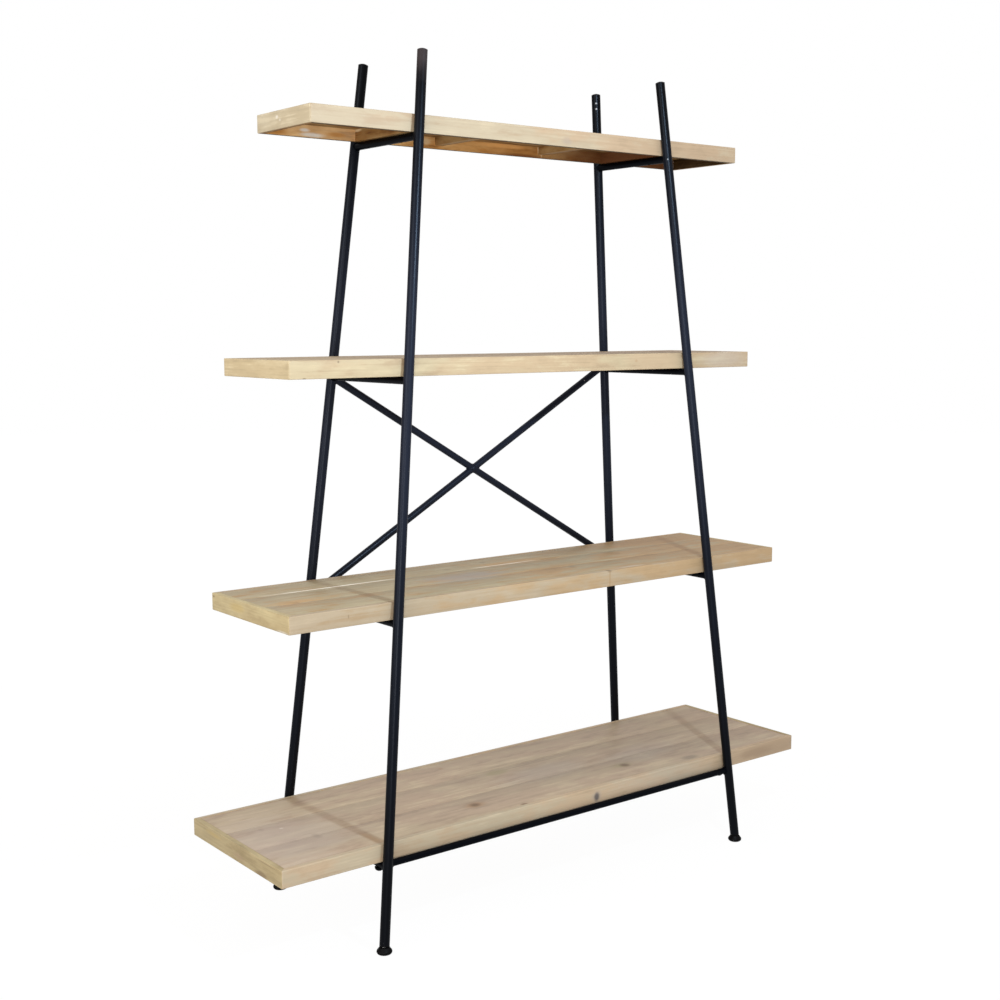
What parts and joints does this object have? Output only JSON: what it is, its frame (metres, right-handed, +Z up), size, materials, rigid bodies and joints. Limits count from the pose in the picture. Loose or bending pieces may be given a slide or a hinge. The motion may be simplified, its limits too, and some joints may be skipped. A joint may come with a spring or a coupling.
{
  "type": "pipe shelving unit",
  "caption": "Open shelving unit of hollow wooden tray shelves resting on rails in a splayed frame of round black steel tube, with a rear cross brace and screw-in levelling feet.",
  "frame": {"origin": "on the floor, midway between the four feet", "axes": "+Z up, +X along the shelves to the right as seen from the front, +Y towards the rear, so the front faces -Y"},
  "size_m": [1.4692, 0.4558, 1.8],
  "materials": {
    "painted_steel": "matte black powder coat",
    "shelf_wood": "pale, lightly whitewashed softwood, matte",
    "shelf_inner_wood": "raw softwood, unfinished",
    "zinc_steel": "zinc plated",
    "black_plastic": "matte black"
  },
  "bodies": {
    "frame": {"leg_front_left": "painted_steel", "leg_cap_front_left": "black_plastic", "leg_insert_front_left": "black_plastic", "leg_front_right": "painted_steel", "leg_cap_front_right": "black_plastic", "leg_insert_front_right": "black_plastic", "leg_rear_left": "painted_steel", "leg_cap_rear_left": "black_plastic", "leg_insert_rear_left": "black_plastic", "leg_rear_right": "painted_steel", "leg_cap_rear_right": "black_plastic", "leg_insert_rear_right": "black_plastic", "rail_1_left": "painted_steel", "rail_1_right": "painted_steel", "shelf_1_front_wall": "shelf_wood", "shelf_1_rear_wall": "shelf_wood", "shelf_1_left_end": "shelf_wood", "shelf_1_right_end": "shelf_wood", "shelf_1_boards": "shelf_wood", "shelf_1_ribs": "shelf_inner_wood", "rail_2_left": "painted_steel", "rail_2_right": "painted_steel", "shelf_2_front_wall": "shelf_wood", "shelf_2_rear_wall": "shelf_wood", "shelf_2_left_end": "shelf_wood", "shelf_2_right_end": "shelf_wood", "shelf_2_boards": "shelf_wood", "shelf_2_ribs": "shelf_inner_wood", "rail_3_left": "painted_steel", "rail_3_right": "painted_steel", "shelf_3_front_wall": "shelf_wood", "shelf_3_rear_wall": "shelf_wood", "shelf_3_left_end": "shelf_wood", "shelf_3_right_end": "shelf_wood", "shelf_3_boards": "shelf_wood", "shelf_3_ribs": "shelf_inner_wood", "rail_4_left": "painted_steel", "rail_4_right": "painted_steel", "shelf_4_front_wall": "shelf_wood", "shelf_4_rear_wall": "shelf_wood", "shelf_4_left_end": "shelf_wood", "shelf_4_right_end": "shelf_wood", "shelf_4_boards": "shelf_wood", "shelf_4_ribs": "shelf_inner_wood", "front_bar": "painted_steel", "brace_long_rod": "painted_steel", "brace_upper_rod": "painted_steel", "brace_lower_rod": "painted_steel", "shelf_screws": "painted_steel"},
    "foot_front_left": {"foot_pad_front_left": "black_plastic", "foot_stud_front_left": "zinc_steel"},
    "foot_front_right": {"foot_pad_front_right": "black_plastic", "foot_stud_front_right": "zinc_steel"},
    "foot_rear_left": {"foot_pad_rear_left": "black_plastic", "foot_stud_rear_left": "zinc_steel"},
    "foot_rear_right": {"foot_pad_rear_right": "black_plastic", "foot_stud_rear_right": "zinc_steel"}
  },
  "joints": [
    {"name": "level_front_left", "type": "slide", "parent": "frame", "child": "foot_front_left", "axis": [-0.1018, -0.0571, -0.9932], "range_m": [0, 0.01]},
    {"name": "level_front_right", "type": "slide", "parent": "frame", "child": "foot_front_right", "axis": [0.1018, -0.0571, -0.9932], "range_m": [0, 0.01]},
    {"name": "level_rear_left", "type": "slide", "parent": "frame", "child": "foot_rear_left", "axis": [-0.1018, 0.0571, -0.9932], "range_m": [0, 0.01]},
    {"name": "level_rear_right", "type": "slide", "parent": "frame", "child": "foot_rear_right", "axis": [0.1018, 0.0571, -0.9932], "range_m": [0, 0.01]}
  ]
}
